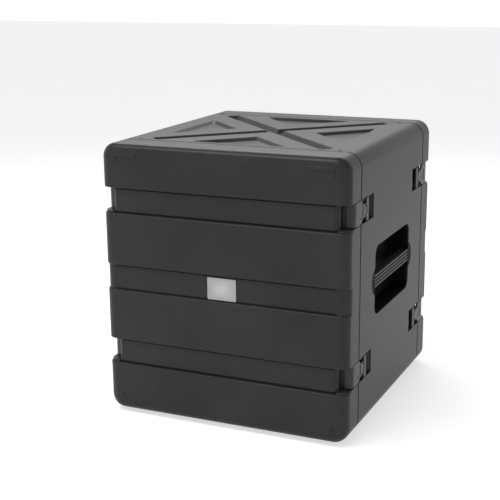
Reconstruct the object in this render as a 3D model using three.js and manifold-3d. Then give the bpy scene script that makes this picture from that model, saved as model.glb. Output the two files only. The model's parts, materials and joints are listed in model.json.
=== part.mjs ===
// A 12U, 19 inch moulded equipment rack case: an open sleeve with a lift-off lid at each end, eight draw
// latches, two swivelling side grips, steel rack rails and rubber feet. Millimetres, +Z up, front facing -Y.
// The origin is on the floor, under the middle of the case.
import * as THREE from "three";
import { ConvexGeometry } from "three/addons/geometries/ConvexGeometry.js";
import { mergeVertices } from "three/addons/utils/BufferGeometryUtils.js";
import Module from "manifold-3d";

const wasm = await Module();
wasm.setup();

// Overall size
const HALF_WIDTH = 280;
const HALF_DEPTH = 294;
const TOP = 604;
const UNDERSIDE = 8; // of the mouldings, which stand on the feet
const LID_DEPTH = 70;
const SEAM = HALF_DEPTH - LID_DEPTH; // distance of each lid seam from the middle
const EDGE_RADIUS = 32; // of the long edges, seen from the front
const FACE_RADIUS = 24; // of a lid's upright front edges
const BROW_RADIUS = 15; // of a lid's level front edges
const WALL = 5;
const GAP = 0.3; // between pieces that touch

// Sleeve
const CEILING = 589;
const FLOOR = 23;
const RIM_THICKNESS = 6; // the frame round each mouth of the sleeve
const MOUTH = { half: 243.5, low: 26.5, high: 585.5, radius: 6 };
const TONGUE = { wall: 4, length: 11 }; // stands out of each rim, into the lid
const CHANNEL = { reach: 283, half: 17, depth: 10, slope: 10 }; // one arm of the X in the top
const TRIANGLE = { base: 206, halfBase: 114, apex: 94, depth: 7, slope: 9 };
const DRAIN = { x: 228, y: 206, radius: 4, depth: 4 };

// Lids: three bands are set back across the face, and the latches sit at the ends of two of them
const LATCH_LEVELS = { upper: 483.5, lower: 145.5 };
const LATCH_BAND = 51;
const LATCH_BAND_SILL = 5; // how far the set-back reaches below the latches
const MIDDLE_BAND = { low: 283, high: 340 };
const SET_BACK = 6;
const LID_CAVITY = { half: 238, low: 28, high: 584, front: 282.5 };

// Latches, in the plan of the front right corner: x, and the distance forward of the middle
const LATCH_POCKET = { floor: 266, rear: 142, ramp: 9, wall: 5 };
const LEVER_PIVOT = [270, 205];
const HOOK_PIVOT = [276.6, 190.5];
const LEVER_PLATE = { inner: 275, rear: 173.5, middle: 185.5, front: 188.5, half: 23.5 };
const HOOK_HALF = { neck: 14, shoulder: 16, full: 23.5 };
const EAR = { inner: 9, outer: 14 };
const KNUCKLE = { lever: 3.5, hook: 3.2 };
const PIN_RADIUS = 1.5;
const PIN_HOLE = 1.9;

// Rack rails
const RACK_UNIT = 44.45;
const UNITS = 12;
const RACK_BOTTOM = (FLOOR + CEILING) / 2 - (UNITS * RACK_UNIT) / 2;
const HOLE_HEIGHTS = [6.35, 22.225, 38.1]; // in each unit
const HOLE_SIZE = 9.5;
const HOLE_X = 465.1 / 2;
const RAIL = { inner: 225.5, outer: 258, face: 212, leg: 32, sheet: 2 };
const RAIL_BOSS = { heights: [67, 545], half: 20, rear: 183, front: 209 };
const SCREW = { radius: 2.4, hole: 2.8, head: 5, headHeight: 3, length: 12 };

// Handles
const HANDLE_HEIGHT = 314;
const OPENING = { half: 123, halfHeight: 76, radius: 20 };
const EAR_CUT = { centre: 109, radius: 29 };
const DISH = { floor: 232, sheet: 3, flange: 20 };
const GRIP = { half: 121.5, halfHeight: 14, back: 257, face: 279.3, ribs: 4, groove: 3, grooveDepth: 2.5 };
const AXLE = { x: 268, radius: 5, hole: 5.4, half: 133 };

const FOOT = { x: 225, y: 185, radius: 20, taper: 1.5, height: 11.7 };
const BADGE = { half: 33, low: 286.5, high: 334.5, sheet: 1.2, radius: 3 };

const SIDES = { right: 1, left: -1 };
const ENDS = { front: 1, rear: -1 };
const FAR = 320; // beyond the whole case, for cutting right through

const finish = (color, roughness, metalness = 0) =>
  new THREE.MeshStandardMaterial({ color, roughness, metalness });
const SHELL_PLASTIC = finish(0x3a3c3e, 0.55);
const LATCH_PLASTIC = finish(0x2b2d2e, 0.45);
const DISH_PLASTIC = finish(0x101010, 0.6);
const GRIP_RUBBER = finish(0x4a4a4a, 0.7);
const SEAL_RUBBER = finish(0x141414, 0.8);
const RAIL_STEEL = finish(0x1c1c1e, 0.45, 0.6);
const PIN_STEEL = finish(0xa8a8a6, 0.35, 1);
const BADGE_METAL = finish(0xbfbfbf, 0.4, 0.8);

// ---- solids -------------------------------------------------------------------------------------------

function solidOf(geometry) {
  const bare = geometry.clone();
  bare.deleteAttribute("normal");
  bare.deleteAttribute("uv");
  const merged = mergeVertices(bare, 1e-4);
  return new wasm.Manifold(
    new wasm.Mesh({
      numProp: 3,
      vertProperties: merged.attributes.position.array,
      triVerts: new Uint32Array(merged.index.array),
    }),
  );
}

function geometryOf(solid) {
  const { vertProperties, triVerts } = solid.getMesh();
  const geometry = new THREE.BufferGeometry();
  geometry.setAttribute("position", new THREE.BufferAttribute(vertProperties, 3));
  geometry.setIndex(new THREE.BufferAttribute(triVerts, 1));
  geometry.computeVertexNormals();
  return geometry;
}

const joined = (solids) => solids.reduce((whole, piece) => whole.add(piece));
const without = (solid, cuts) => solid.subtract(joined(cuts));

function extruded(shape, depth, matrix, curveSegments = 5) {
  const geometry = new THREE.ExtrudeGeometry(shape, { depth, bevelEnabled: false, curveSegments });
  return solidOf(geometry.applyMatrix4(matrix));
}

const along = (a, b, c) => new THREE.Matrix4().makeBasis(...[a, b, c].map((v) => new THREE.Vector3(...v)));

// A shape drawn in x and y, between two heights.
function planPrism(shape, low, high, segments) {
  return extruded(shape, high - low, new THREE.Matrix4().makeTranslation(0, 0, low), segments);
}

// A shape drawn in x and z, between two places in y.
function facePrism(shape, near, far, segments) {
  const matrix = along([1, 0, 0], [0, 0, 1], [0, -1, 0]).setPosition(0, far, 0);
  return extruded(shape, far - near, matrix, segments);
}

// A shape drawn in y and z, between two places in x.
function sidePrism(shape, near, far, segments) {
  const matrix = along([0, 1, 0], [0, 0, 1], [1, 0, 0]).setPosition(near, 0, 0);
  return extruded(shape, far - near, matrix, segments);
}

function box(low, high) {
  const size = high.map((value, i) => value - low[i]);
  const centre = high.map((value, i) => (value + low[i]) / 2);
  return solidOf(new THREE.BoxGeometry(...size).translate(...centre));
}

function roundedRectangle(left, bottom, right, top, radius) {
  const shape = new THREE.Shape();
  shape.moveTo(left + radius, bottom);
  shape.absarc(right - radius, bottom + radius, radius, -Math.PI / 2, 0);
  shape.absarc(right - radius, top - radius, radius, 0, Math.PI / 2);
  shape.absarc(left + radius, top - radius, radius, Math.PI / 2, Math.PI);
  shape.absarc(left + radius, bottom + radius, radius, Math.PI, (3 * Math.PI) / 2);
  return shape;
}

function polygon(points) {
  return new THREE.Shape(points.map(([x, y]) => new THREE.Vector2(x, y)));
}

function circle(x, y, radius) {
  return new THREE.Shape().absarc(x, y, radius, 0, 2 * Math.PI);
}

function circlePoints([x, y], radius, count = 8) {
  return Array.from({ length: count }, (_, i) => {
    const angle = (2 * Math.PI * i) / count;
    return [x + radius * Math.cos(angle), y + radius * Math.sin(angle)];
  });
}

// The convex outline round a set of points in plan, between two heights.
function hullPrism(points, low, high) {
  const corners = points.flatMap(([x, y]) => [low, high].map((z) => new THREE.Vector3(x, y, z)));
  return solidOf(new ConvexGeometry(corners));
}

// Every pairing of side and end, as signs.
const corners = Object.values(SIDES).flatMap((side) => Object.values(ENDS).map((end) => [side, end]));

// A box in the front right quarter, placed at one of the four quarters.
function quarterBox([side, end], x, forward, z) {
  const xs = x.map((value) => value * side).sort((a, b) => a - b);
  const ys = forward.map((value) => -value * end).sort((a, b) => a - b);
  return box([xs[0], ys[0], z[0]], [xs[1], ys[1], z[1]]);
}

// A shape drawn in the plan of the front right quarter, placed at one of the four quarters.
function quarterPrism([side, end], plan, low, high) {
  return planPrism(polygon(plan.map(([x, forward]) => [side * x, -end * forward])), low, high);
}

// ---- sleeve -------------------------------------------------------------------------------------------

// The convex hollow between an outline at a level surface and a smaller one, depth below it. A hollow in
// an underside has a depth below nothing.
function sunk(rim, bed, surface, depth) {
  const beyond = surface + Math.sign(depth);
  const at = (points, z) => points.map(([x, y]) => new THREE.Vector3(x, y, z));
  return new ConvexGeometry([...at(rim, beyond), ...at(rim, surface), ...at(bed, surface - depth)]);
}

function channelArm(turn) {
  const { reach, half, depth, slope } = CHANNEL;
  const ends = (long, wide, cut) =>
    [-1, 1].flatMap((x) =>
      [-1, 1].flatMap((y) => [
        [x * long, y * (wide - cut)],
        [x * (long - cut), y * wide],
      ]),
    );
  const hollow = sunk(ends(reach, half, 5), ends(reach - slope, half - slope, 2), TOP, depth);
  return solidOf(hollow.rotateZ(turn));
}

function trianglePocket(turn, surface, depth) {
  const { base, halfBase, apex, slope } = TRIANGLE;
  const long = base - apex;
  const side = Math.hypot(long, halfBase);
  const inscribed = (long * halfBase) / (halfBase + side);
  const centre = base - inscribed;
  const rim = [
    [apex + 3, -3],
    [apex + 3, 3],
    [base - 5, halfBase - 5],
    [base, halfBase - 9],
    [base, 9 - halfBase],
    [base - 5, 5 - halfBase],
  ];
  const shrink = 1 - slope / inscribed;
  const bed = rim.map(([x, y]) => [centre + (x - centre) * shrink, y * shrink]);
  return solidOf(sunk(rim, bed, surface, depth).rotateZ(turn));
}

function handleOpening(clearance = 0) {
  const { half, halfHeight, radius } = OPENING;
  const low = HANDLE_HEIGHT - halfHeight;
  const high = HANDLE_HEIGHT + halfHeight;
  const ears = [-1, 1].map((end) => circle(end * EAR_CUT.centre, HANDLE_HEIGHT, EAR_CUT.radius - clearance));
  return { window: roundedRectangle(-half, low, half, high, radius), ears };
}

function upright(x, y, radius, low, high, segments = 8) {
  const geometry = new THREE.CylinderGeometry(radius, radius, high - low, segments).rotateX(Math.PI / 2);
  return solidOf(geometry.translate(x, y, (low + high) / 2));
}

function crosswise(radius, low, high, y, z, segments = 8) {
  const geometry = new THREE.CylinderGeometry(radius, radius, high - low, segments).rotateZ(Math.PI / 2);
  return solidOf(geometry.translate((low + high) / 2, y, z));
}

function topRelief() {
  const turns = [0, 1, 2, 3].map((i) => (i * Math.PI) / 2);
  const arms = [Math.PI / 4, -Math.PI / 4].map(channelArm);
  const pockets = turns.map((turn) => trianglePocket(turn, TOP, TRIANGLE.depth));
  const below = turns.map((turn) => trianglePocket(turn, UNDERSIDE, -TRIANGLE.depth));
  const { x, y, radius, depth } = DRAIN;
  const drains = corners.map(([sx, sy]) => upright(sx * x, sy * y, radius, TOP - depth, TOP + 1));
  return [...arms, ...pockets, ...below, ...drains];
}

function latchSeats(corner) {
  const { floor, rear, ramp, wall } = LATCH_POCKET;
  const reach = LATCH_BAND / 2;
  const backs = [];
  const pockets = [];
  for (const level of Object.values(LATCH_LEVELS)) {
    const outside = [level - reach - wall, level + reach + wall];
    backs.push(quarterBox(corner, [floor - wall, HALF_WIDTH - 4], [rear - wall, SEAM - 1], outside));
    const plan = [
      [FAR, rear],
      [HALF_WIDTH, rear],
      [floor, rear + ramp],
      [floor, SEAM + 2],
      [FAR, SEAM + 2],
    ];
    pockets.push(quarterPrism(corner, plan, level - reach, level + reach));
    const [x, forward] = LEVER_PIVOT;
    const end = reach + 3.8;
    pockets.push(upright(x * corner[0], -forward * corner[1], PIN_HOLE, level - end, level + end));
  }
  return { backs, pockets };
}

function railBosses(corner) {
  const { heights, half, rear, front } = RAIL_BOSS;
  const bosses = heights.map((z) =>
    quarterBox(corner, [RAIL.outer + GAP, HALF_WIDTH - 4], [rear, front], [z - half, z + half]),
  );
  const y = (-corner[1] * (rear + front)) / 2;
  const ends = [RAIL.outer - 1, RAIL.outer + SCREW.length].map((x) => x * corner[0]).sort((a, b) => a - b);
  const holes = heights.map((z) => crosswise(SCREW.hole, ...ends, y, z));
  return { bosses, holes };
}

function caseShell() {
  const outline = roundedRectangle(-HALF_WIDTH, UNDERSIDE, HALF_WIDTH, TOP, EDGE_RADIUS);
  const inside = HALF_WIDTH - WALL;
  const cavity = roundedRectangle(-inside, FLOOR, inside, CEILING, EDGE_RADIUS - 10);
  const { half, low, high, radius } = MOUTH;
  const mouth = roundedRectangle(-half, low, half, high, radius);
  const grow = TONGUE.wall;
  const tongue = roundedRectangle(-half - grow, low - grow, half + grow, high + grow, radius + grow);
  const tongueEnd = SEAM + TONGUE.length;

  const seats = corners.map(latchSeats);
  const bosses = corners.map(railBosses);
  const { window, ears } = handleOpening();
  const openings = Object.values(SIDES).flatMap((side) => {
    const ends = [side * (inside - 8), side * FAR].sort((a, b) => a - b);
    return [window, ...ears].map((shape) => sidePrism(shape, ...ends));
  });
  const sockets = corners.map(([sx, sy]) =>
    upright(sx * FOOT.x, sy * FOOT.y, FOOT.radius + 0.5, UNDERSIDE - 1, FOOT.height + GAP, 16),
  );

  const sleeve = facePrism(outline, -SEAM, SEAM, 7).add(facePrism(tongue, -tongueEnd, tongueEnd, 2));
  const hollow = without(sleeve, [
    facePrism(cavity, RIM_THICKNESS - SEAM, SEAM - RIM_THICKNESS, 3),
    facePrism(mouth, -FAR, FAR, 2),
  ]);
  const furnished = joined([hollow, ...seats.flatMap((s) => s.backs), ...bosses.flatMap((b) => b.bosses)]);
  return without(furnished, [
    ...seats.flatMap((s) => s.pockets),
    ...bosses.flatMap((b) => b.holes),
    ...openings,
    ...topRelief(),
    ...sockets,
  ]);
}

// ---- lids, drawn at the front -------------------------------------------------------------------------

// The rounded block that a lid is moulded to, moved towards the middle by setBack.
function lidBlock(setBack) {
  const face = -HALF_DEPTH + setBack;
  const seam = -SEAM + setBack;
  const outline = roundedRectangle(-HALF_WIDTH, UNDERSIDE, HALF_WIDTH, TOP, EDGE_RADIUS);
  const plan = roundedRectangle(-HALF_WIDTH, face, HALF_WIDTH, seam + 2 * FACE_RADIUS, FACE_RADIUS);
  const section = roundedRectangle(face, UNDERSIDE, seam + 2 * BROW_RADIUS, TOP, BROW_RADIUS);
  return facePrism(outline, face, seam, 7)
    .intersect(planPrism(plan, 0, TOP + 1, 6))
    .intersect(sidePrism(section, -FAR, FAR, 4));
}

const latchBands = Object.values(LATCH_LEVELS).map((level) => {
  return [level - LATCH_BAND / 2, level + LATCH_BAND / 2];
});

function setBackBands() {
  const shifted = lidBlock(SET_BACK);
  const wide = latchBands.map(([low, high]) => [low - LATCH_BAND_SILL, high]);
  return [...wide, [MIDDLE_BAND.low, MIDDLE_BAND.high]].map(([low, high]) =>
    box([-FAR, -FAR, low], [FAR, -SEAM - 10, high]).subtract(shifted),
  );
}

// The pocket in a lid's corner that the hook reaches into, with the step that keeps it.
function hookPocket(side, [low, high]) {
  const plan = [
    [FAR, SEAM - 1],
    [262.5, SEAM - 1],
    [262.5, 260.5],
    [255, 262],
    [255, 272],
    [256.5, 277.5],
    [253.5, 282.5],
    [249, 286.5],
    [244, 288.5],
    [244, FAR],
    [FAR, FAR],
  ];
  return quarterPrism([side, 1], plan, low, high);
}

// Hollows beside a lid's inner wall, between the bands that hold latches.
function lidGutters(side) {
  const [upper, lower] = latchBands;
  const wall = WALL + 1;
  const spans = [
    [29, lower[0] - wall],
    [lower[1] + wall, upper[0] - wall],
    [upper[1] + wall, 583],
  ];
  return spans.map((span) => quarterBox([side, 1], [253.5, HALF_WIDTH - 5.5], [SEAM - 1, 274], span));
}

function lidShell() {
  const { half, low, high, front } = LID_CAVITY;
  const grow = TONGUE.wall + 0.5;
  const seat = roundedRectangle(-MOUTH.half - grow, MOUTH.low - grow, MOUTH.half + grow, MOUTH.high + grow, 10.5);
  const sides = Object.values(SIDES);
  return without(lidBlock(0), [
    ...setBackBands(),
    ...sides.flatMap((side) => latchBands.map((band) => hookPocket(side, band))),
    ...sides.flatMap(lidGutters),
    facePrism(seat, -SEAM - TONGUE.length - 5, 1 - SEAM, 2),
    facePrism(roundedRectangle(-half, low, half, high, 8), -front, 1 - SEAM, 2),
  ]);
}

function lidSeal() {
  const outer = TONGUE.wall + 0.1;
  const { half, low, high, radius } = MOUTH;
  const ring = roundedRectangle(-half - outer, low - outer, half + outer, high + outer, radius + outer);
  const inner = 0.2;
  ring.holes.push(roundedRectangle(-half - inner, low - inner, half + inner, high + inner, radius));
  const tip = SEAM + TONGUE.length;
  return facePrism(ring, -tip - 5 + GAP, -tip - GAP, 2);
}

function badgePlate() {
  const face = HALF_DEPTH - SET_BACK + GAP;
  const plate = roundedRectangle(-BADGE.half, BADGE.low, BADGE.half, BADGE.high, BADGE.radius);
  return facePrism(plate, -face - BADGE.sheet, -face, 3);
}

// ---- latches, drawn at the front right, about the height of the latch ----------------------------------

const inPlan = ([x, forward]) => [x, -forward];

function pinHole([x, forward], half) {
  return upright(x, -forward, PIN_HOLE, -half, half);
}

function latchLever() {
  const { inner, rear, middle, front, half } = LEVER_PLATE;
  const plate = box([inner, -front, -half], [HALF_WIDTH, -rear, half]);
  const mouth = box([inner - 1, -front - 1, -EAR.inner], [HALF_WIDTH + 1, -middle, EAR.inner]);
  const outline = [
    ...circlePoints(inPlan(LEVER_PIVOT), KNUCKLE.lever),
    ...circlePoints(inPlan(HOOK_PIVOT), KNUCKLE.hook),
    [275.5, -178],
    [HALF_WIDTH - 0.4, -183],
  ];
  const ears = [
    hullPrism(outline, EAR.inner, EAR.outer),
    hullPrism(outline, -EAR.outer, -EAR.inner),
  ];
  const lever = joined([without(plate, [mouth]), ...ears]);
  return without(lever, [pinHole(LEVER_PIVOT, FAR), pinHole(HOOK_PIVOT, FAR)]);
}

// The hook is narrow beside its knuckle, and widens before it crosses the seam.
function hookNotches() {
  const { neck, shoulder, full } = HOOK_HALF;
  return [-1, 1].map((sign) => {
    const outline = [
      [-190, neck],
      [-206, neck],
      [-214, shoulder],
      [-221, full + 1],
      [-190, full + 1],
    ];
    return sidePrism(polygon(outline.map(([y, z]) => [y, sign * z])), HALF_WIDTH - 30, FAR);
  });
}

function latchHook() {
  const outside = [
    [HALF_WIDTH, 197.4],
    [HALF_WIDTH, 250],
    [279.3, 254.5],
    [277.2, 258.6],
    [274, 261.8],
    [270, 264],
    [266.5, 265.2],
  ];
  const inside = [
    [263.5, 265.4],
    [263.5, 261.7],
    [268, 259.3],
    [271.6, 256.4],
    [274.2, 252],
    [275.2, 246],
    [275.2, 203.6],
    [278, 197.4],
  ];
  const full = HOOK_HALF.full;
  const plate = without(planPrism(polygon([...outside, ...inside].map(inPlan)), -full, full), hookNotches());
  const root = [
    [275.2, 203.8],
    [HALF_WIDTH, 203.8],
    [HALF_WIDTH, 192],
  ].map(inPlan);
  const half = EAR.inner - 0.5;
  const tongue = hullPrism([...circlePoints(inPlan(HOOK_PIVOT), KNUCKLE.hook), ...root], -half, half);
  return without(plate.add(tongue), [pinHole(HOOK_PIVOT, FAR)]);
}

function latchPin([x, forward], half) {
  return upright(x, -forward, PIN_RADIUS, -half, half);
}

// ---- rails, drawn at the front right ------------------------------------------------------------------

function rackRail() {
  const top = RACK_BOTTOM + UNITS * RACK_UNIT;
  const face = roundedRectangle(RAIL.inner, RACK_BOTTOM, RAIL.outer, top, 1);
  for (let unit = 0; unit < UNITS; unit++) {
    for (const height of HOLE_HEIGHTS) {
      const z = RACK_BOTTOM + unit * RACK_UNIT + height;
      const half = HOLE_SIZE / 2;
      const square = [
        [HOLE_X - half, z - half],
        [HOLE_X + half, z - half],
        [HOLE_X + half, z + half],
        [HOLE_X - half, z + half],
      ];
      face.holes.push(polygon(square));
    }
  }
  const { outer, sheet, leg } = RAIL;
  const flange = facePrism(face, -RAIL.face, sheet - RAIL.face, 1);
  const side = box([outer - sheet, -RAIL.face, RACK_BOTTOM + 1], [outer, leg - RAIL.face, top - 1]);
  const y = -(RAIL_BOSS.rear + RAIL_BOSS.front) / 2;
  const holes = RAIL_BOSS.heights.map((z) => crosswise(SCREW.hole, outer - 5, outer + 5, y, z));
  return without(flange.add(side), holes);
}

function railScrew() {
  const { radius, head, headHeight, length } = SCREW;
  const profile = [
    [0, 0],
    [head * 0.75, 0],
    [head, headHeight * 0.5],
    [head, headHeight],
    [radius, headHeight],
    [radius, headHeight + length - 1],
    [0, headHeight + length - 1],
  ].map(([r, y]) => new THREE.Vector2(r, y));
  return solidOf(new THREE.LatheGeometry(profile, 8).rotateZ(-Math.PI / 2));
}

// ---- handles, drawn at the right ----------------------------------------------------------------------

function handleDish() {
  const { half, halfHeight, radius } = OPENING;
  const frame = (grow) =>
    roundedRectangle(
      -half - grow,
      HANDLE_HEIGHT - halfHeight - grow,
      half + grow,
      HANDLE_HEIGHT + halfHeight + grow,
      radius + grow,
    );
  const rim = HALF_WIDTH - WALL - GAP;
  const { floor, sheet, flange } = DISH;
  const { window, ears } = handleOpening(0.4);
  const bosses = ears.map((ear) => sidePrism(ear, 252, HALF_WIDTH - 0.6));
  const plates = [sidePrism(frame(sheet), floor, rim), sidePrism(frame(flange), rim - sheet, rim)];
  const outside = joined([...plates, ...bosses]);
  const bore = solidOf(
    new THREE.CylinderGeometry(AXLE.hole, AXLE.hole, 2 * AXLE.half + 1, 12).translate(AXLE.x, 0, HANDLE_HEIGHT),
  );
  return without(outside, [sidePrism(window, floor + sheet, FAR), bore]);
}

function grip() {
  const { half, halfHeight, back, face, ribs, groove, grooveDepth } = GRIP;
  const pitch = (2 * halfHeight + groove) / ribs;
  const outline = [
    [back + 4, -halfHeight],
    [face - 2, -halfHeight],
  ];
  for (let rib = 0; rib < ribs; rib++) {
    const low = rib * pitch - halfHeight;
    const high = low + pitch - groove;
    outline.push([face, low + 1.5], [face, high - 1.5], [face - grooveDepth, high]);
    if (rib < ribs - 1) outline.push([face - grooveDepth, high + groove]);
  }
  outline.push([back + 4, halfHeight], [back, halfHeight - 4], [back, 4 - halfHeight]);
  const shape = polygon(outline.map(([x, z]) => [x, z + HANDLE_HEIGHT]));
  shape.holes.push(circle(AXLE.x, HANDLE_HEIGHT, AXLE.hole));
  return facePrism(shape, -half, half, 12);
}

function axle() {
  const { x, radius, half } = AXLE;
  return solidOf(new THREE.CylinderGeometry(radius, radius, 2 * half, 12).translate(x, 0, HANDLE_HEIGHT));
}

function foot() {
  const { radius, taper, height } = FOOT;
  const profile = [
    [0, 0],
    [radius - taper, 0],
    [radius, taper],
    [radius, height],
    [0, height],
  ].map(([r, y]) => new THREE.Vector2(r, y));
  return solidOf(new THREE.LatheGeometry(profile, 16).rotateX(Math.PI / 2));
}

// ---- assembly -----------------------------------------------------------------------------------------

const rackCase = new THREE.Group();

function place(parent, name, geometry, material) {
  const mesh = new THREE.Mesh(geometry, material);
  mesh.name = name;
  parent.add(mesh);
  return mesh;
}

// A group that mirrors what is drawn at the front right to another side and end.
function quarter(side, end) {
  const group = new THREE.Group();
  group.scale.set(side, end, 1);
  rackCase.add(group);
  return group;
}

const made = Object.fromEntries(
  Object.entries({
    lid: lidShell(),
    seal: lidSeal(),
    lever: latchLever(),
    hook: latchHook(),
    leverPin: latchPin(LEVER_PIVOT, LATCH_BAND / 2 + 3.3),
    hookPin: latchPin(HOOK_PIVOT, EAR.outer),
    rail: rackRail(),
    screw: railScrew(),
    dish: handleDish(),
    grip: grip(),
    axle: axle(),
    foot: foot(),
  }).map(([name, solid]) => [name, geometryOf(solid)]),
);

place(rackCase, "case_shell", geometryOf(caseShell()), SHELL_PLASTIC);

for (const [end, sign] of Object.entries(ENDS)) {
  const group = quarter(1, sign);
  place(group, `${end}_lid_shell`, made.lid, SHELL_PLASTIC);
  place(group, `${end}_lid_seal`, made.seal, SEAL_RUBBER);
}
place(rackCase, "badge_plate", geometryOf(badgePlate()), BADGE_METAL);

for (const [side, sign] of Object.entries(SIDES)) {
  const group = quarter(sign, 1);
  place(group, `${side}_handle_dish`, made.dish, DISH_PLASTIC);
  place(group, `${side}_handle_grip`, made.grip, GRIP_RUBBER);
  place(group, `${side}_handle_axle`, made.axle, PIN_STEEL);
}

for (const [end, endSign] of Object.entries(ENDS)) {
  for (const [side, sideSign] of Object.entries(SIDES)) {
    const group = quarter(sideSign, endSign);
    const corner = `${end}_${side}`;
    place(group, `${corner}_rack_rail`, made.rail, RAIL_STEEL);
    place(group, `${corner}_foot`, made.foot, SEAL_RUBBER).position.set(FOOT.x, -FOOT.y, 0);

    for (const [index, height] of RAIL_BOSS.heights.entries()) {
      const screw = place(group, `${corner}_rail_screw_${index ? "upper" : "lower"}`, made.screw, PIN_STEEL);
      const x = RAIL.outer - RAIL.sheet - GAP - SCREW.headHeight;
      screw.position.set(x, -(RAIL_BOSS.rear + RAIL_BOSS.front) / 2, height);
    }

    for (const [level, height] of Object.entries(LATCH_LEVELS)) {
      const latch = new THREE.Group();
      latch.position.z = height;
      group.add(latch);
      const name = `${corner}_${level}_latch`;
      place(latch, `${name}_lever`, made.lever, LATCH_PLASTIC);
      place(latch, `${name}_hook`, made.hook, LATCH_PLASTIC);
      place(latch, `${name}_lever_pin`, made.leverPin, PIN_STEEL);
      place(latch, `${name}_hook_pin`, made.hookPin, PIN_STEEL);
    }
  }
}

export default rackCase;
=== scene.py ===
"""A 12U moulded equipment rack case on a pale studio floor.

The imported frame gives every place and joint. The pieces below are modelled in millimetres around it and
scaled to metres as they are made: +X is the right side, -Y the front, +Z up.
"""

import json
import math

import bpy
from mathutils import Matrix, Vector


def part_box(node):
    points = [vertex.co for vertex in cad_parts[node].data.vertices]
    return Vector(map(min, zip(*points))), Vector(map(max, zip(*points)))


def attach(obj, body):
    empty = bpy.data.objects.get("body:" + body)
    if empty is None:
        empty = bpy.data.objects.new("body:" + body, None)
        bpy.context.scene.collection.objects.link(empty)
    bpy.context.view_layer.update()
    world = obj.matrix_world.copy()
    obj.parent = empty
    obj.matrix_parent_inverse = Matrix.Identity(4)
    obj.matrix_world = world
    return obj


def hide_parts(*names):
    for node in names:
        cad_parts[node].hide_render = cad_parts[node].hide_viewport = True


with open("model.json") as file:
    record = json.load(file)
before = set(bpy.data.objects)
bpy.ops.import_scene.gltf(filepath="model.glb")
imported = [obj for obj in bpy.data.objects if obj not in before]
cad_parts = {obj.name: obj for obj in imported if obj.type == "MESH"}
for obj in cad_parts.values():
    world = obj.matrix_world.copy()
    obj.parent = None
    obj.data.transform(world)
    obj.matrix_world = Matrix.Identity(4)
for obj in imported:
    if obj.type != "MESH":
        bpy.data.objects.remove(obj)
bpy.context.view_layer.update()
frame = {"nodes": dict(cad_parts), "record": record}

MM = 0.001
SIDES = {"right": 1, "left": -1}
ENDS = {"front": 1, "rear": -1}
LEVELS = ("upper", "lower")
CORNERS = [(end, side) for end in ENDS for side in SIDES]


def node_box(name):
    """The lowest and highest corner of a frame node, in millimetres."""
    low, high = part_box(name)
    return Vector(low) / MM, Vector(high) / MM


# Overall size, from the frame
LID_LOW, LID_HIGH = node_box("front_lid_shell")
HALF_WIDTH = LID_HIGH.x
HALF_DEPTH = -LID_LOW.y
SEAM = -LID_HIGH.y
UNDERSIDE = LID_LOW.z
TOP = LID_HIGH.z
EDGE_RADIUS = 32  # of the long edges
FACE_RADIUS = 24  # of the upright edges of each lid's face
BROW_RADIUS = 14  # of its level edges
WALL = 5

# Sleeve
FLOOR = 23
CEILING = 589
RIM_THICKNESS = 6
MOUTH = {"half": 243.5, "low": 26.5, "high": 585.5, "radius": 6}
TONGUE = {"wall": 4, "length": 11}
SEAM_GROOVE = 4  # between the sleeve's end and the lid
CHANNEL = {"reach": 283, "half": 17, "depth": 10, "slope": 10}
TRIANGLE = {"base": 206, "half_base": 114, "apex": 94, "depth": 7, "slope": 9}
DRAIN = {"x": 228, "y": 206, "radius": 4, "depth": 4}
RELIEF_RIM = {"within": 215, "radius": 2.5}  # the rounded rims of what is sunk into the top

# Lids
BAND = 51  # height of a set-back band that ends in a latch
SILL = 5  # how far a latch band is set back below its latches
MIDDLE_BAND = (283, 340)
SET_BACK = 6
DRAFT = 1.5
LIP_RADIUS = 2.6  # of the lips of a set-back band
PARTING_GROOVE = {"half": 254, "depth": 2.8, "lower": 2.6, "upper": 1.2}  # along the foot of each lip
LID_CAVITY = {"half": 238, "low": 28, "high": 584, "front": 282.5}
CORNER_MARK = {"x": 250, "z": 20, "length": 58, "leg": 20, "width": 7, "proud": 1.8}

# Latches
LATCH_Z = {level: sum(c.z for c in node_box(f"front_right_{level}_latch_hook")) / 2 for level in LEVELS}
LATCH_SEAT = {"floor": 266, "rear": 142, "wall": 5}
LEVER_PIVOT = (270, 205)
HOOK_PIVOT = (276.6, 190.5)
LEVER_PLATE = {"inner": 275, "rear": 173.5, "middle": 185.5, "front": 188.5, "half": 23.5}
HOOK_HALF = {"neck": 14, "shoulder": 16, "full": 24.3}
HOOK_PANEL = {"front": 236, "rear": 209, "half": 12, "depth": 0.8, "radius": 3}
EAR = (9, 14)

# Handles
HANDLE_Z = sum(c.z for c in node_box("right_handle_grip")) / 2
OPENING = {"half": 123, "half_height": 76, "radius": 20}
EAR_CUT = {"centre": 113, "radius": 31}
DISH = {"floor": 232, "sheet": 3, "flange": 20}
DISH_BOSS = {"back": 252, "gap": 0.6}
GRIP_LOW, GRIP_HIGH = node_box("right_handle_grip")
GRIP_RIBS = {"count": 4, "groove": 2.6, "depth": 3.2}

# Rails
RAIL_BOSS = {"outer": 258.3, "heights": (67, 545), "half": 20, "rear": 183, "front": 209}


# ---- modelling -----------------------------------------------------------------------------------------


def only(piece):
    """Makes one piece the whole selection."""
    if bpy.context.object and bpy.context.object.mode != "OBJECT":
        bpy.ops.object.mode_set(mode="OBJECT")
    bpy.ops.object.select_all(action="DESELECT")
    piece.select_set(True)
    bpy.context.view_layer.objects.active = piece


def named(name):
    """Names the primitive that was just added, and settles its place into its mesh."""
    piece = bpy.context.object
    piece.name = piece.data.name = name
    bpy.ops.object.transform_apply(location=True, rotation=True, scale=True)
    return piece


def clear_selection():
    bpy.ops.object.select_all(action="DESELECT")


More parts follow.
